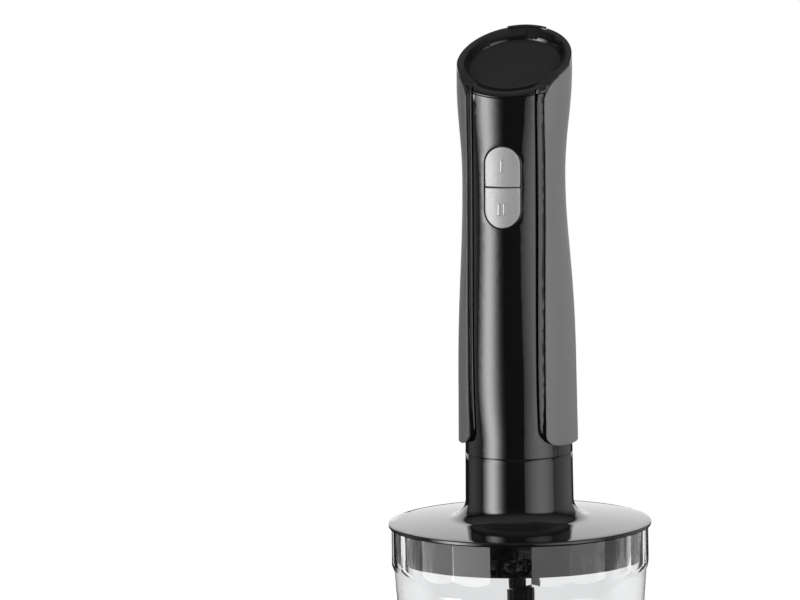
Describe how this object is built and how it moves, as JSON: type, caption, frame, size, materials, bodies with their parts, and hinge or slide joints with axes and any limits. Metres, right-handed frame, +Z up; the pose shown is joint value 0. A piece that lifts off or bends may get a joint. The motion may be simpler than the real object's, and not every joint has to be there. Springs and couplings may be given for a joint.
{
  "type": "immersion blender",
  "caption": "Hand blender motor handle docked on a geared chopper lid over a clear faceted bowl with sickle blades, two speed buttons on its gloss black front.",
  "frame": {"origin": "middle of the foot ring on the table, on the drive axis", "axes": "+Z up the drive axis, -Y out of the buttons, +X to the right seen from the back"},
  "size_m": [0.125, 0.125, 0.3209],
  "materials": {
    "clear_plastic": "clear, polished",
    "gloss_black": "high gloss",
    "satin_black": "satin",
    "soft_grey": "soft touch",
    "soft_black": "matte",
    "rubber_black": "matte",
    "silver_satin": "satin silver",
    "steel": "ground",
    "copper": "enamelled wire",
    "bronze": "sintered",
    "white_plastic": "moulded",
    "board_green": "laminate",
    "carbon": "graphite"
  },
  "bodies": {
    "bowl": {"bowl": "clear_plastic", "foot_ring": "rubber_black", "spindle_pin": "steel"},
    "blade": {"blade_hub": "satin_black", "lower_blade": "steel", "upper_blade": "steel"},
    "lid": {"lid_shell": "gloss_black", "gear_cover": "satin_black", "cover_screws": "steel", "output_bush": "bronze", "input_bush": "bronze", "ring_gear": "white_plastic"},
    "sun": {"sun_gear": "steel", "input_coupling": "white_plastic"},
    "carrier": {"planet_carrier": "white_plastic", "planet_pins": "steel"},
    "planet_1": {"planet_gear_1": "white_plastic"},
    "planet_2": {"planet_gear_2": "white_plastic"},
    "planet_3": {"planet_gear_3": "white_plastic"},
    "handle": {"front_cover": "gloss_black", "rear_housing": "gloss_black", "left_grip": "soft_grey", "right_grip": "soft_grey", "top_cap": "gloss_black", "top_pad": "soft_black", "dock_ring": "satin_black", "shaft_seal": "rubber_black", "low_switch": "satin_black", "high_switch": "satin_black", "switch_board": "board_green", "cord_gland": "rubber_black", "motor_mount": "satin_black", "lower_bearing": "steel", "upper_bearing": "steel", "stator_core": "steel", "field_coils": "copper", "lower_damper": "rubber_black", "upper_damper": "rubber_black", "brush_bracket": "satin_black", "carbon_brushes": "carbon"},
    "rotor": {"motor_shaft": "steel", "armature_core": "steel", "armature_windings": "copper", "commutator": "copper", "cooling_fan": "white_plastic", "drive_coupler": "white_plastic"},
    "low_button": {"low_button": "silver_satin"},
    "high_button": {"high_button": "silver_satin"}
  },
  "joints": [
    {"name": "lid_lift", "type": "slide", "parent": "bowl", "child": "lid", "axis": [0, 0, 1], "range_m": [0, 0.1]},
    {"name": "handle_lift", "type": "slide", "parent": "lid", "child": "handle", "axis": [0, 0, 1], "range_m": [0, 0.06]},
    {"name": "rotor_spin", "type": "hinge", "parent": "handle", "child": "rotor", "pos_m": [0, 0, 0.17], "axis": [0, 0, 1], "continuous": true},
    {"name": "sun_spin", "type": "hinge", "parent": "lid", "child": "sun", "pos_m": [0, 0, 0.087], "axis": [0, 0, 1], "continuous": true},
    {"name": "carrier_spin", "type": "hinge", "parent": "lid", "child": "carrier", "pos_m": [0, 0, 0.08], "axis": [0, 0, 1], "continuous": true},
    {"name": "planet_1_spin", "type": "hinge", "parent": "carrier", "child": "planet_1", "pos_m": [0.0135, 0, 0.087], "axis": [0, 0, 1], "continuous": true},
    {"name": "planet_2_spin", "type": "hinge", "parent": "carrier", "child": "planet_2", "pos_m": [-0.00675, 0.01169, 0.087], "axis": [0, 0, 1], "continuous": true},
    {"name": "planet_3_spin", "type": "hinge", "parent": "carrier", "child": "planet_3", "pos_m": [-0.00675, -0.01169, 0.087], "axis": [0, 0, 1], "continuous": true},
    {"name": "blade_spin", "type": "hinge", "parent": "bowl", "child": "blade", "pos_m": [0, 0, 0.03], "axis": [0, 0, 1], "continuous": true},
    {"name": "low_button_press", "type": "slide", "parent": "handle", "child": "low_button", "axis": [0, 1, 0], "range_m": [0, 0.0018], "stiffness_N_per_m": 1200},
    {"name": "high_button_press", "type": "slide", "parent": "handle", "child": "high_button", "axis": [0, 1, 0], "range_m": [0, 0.0018], "stiffness_N_per_m": 1200}
  ],
  "couplings": [
    {"joint": "sun_spin", "follows": "rotor_spin", "ratio": 1},
    {"joint": "carrier_spin", "follows": "rotor_spin", "ratio": 0.22222},
    {"joint": "blade_spin", "follows": "rotor_spin", "ratio": 0.22222},
    {"joint": "planet_1_spin", "follows": "rotor_spin", "ratio": -0.62222},
    {"joint": "planet_2_spin", "follows": "rotor_spin", "ratio": -0.62222},
    {"joint": "planet_3_spin", "follows": "rotor_spin", "ratio": -0.62222}
  ]
}
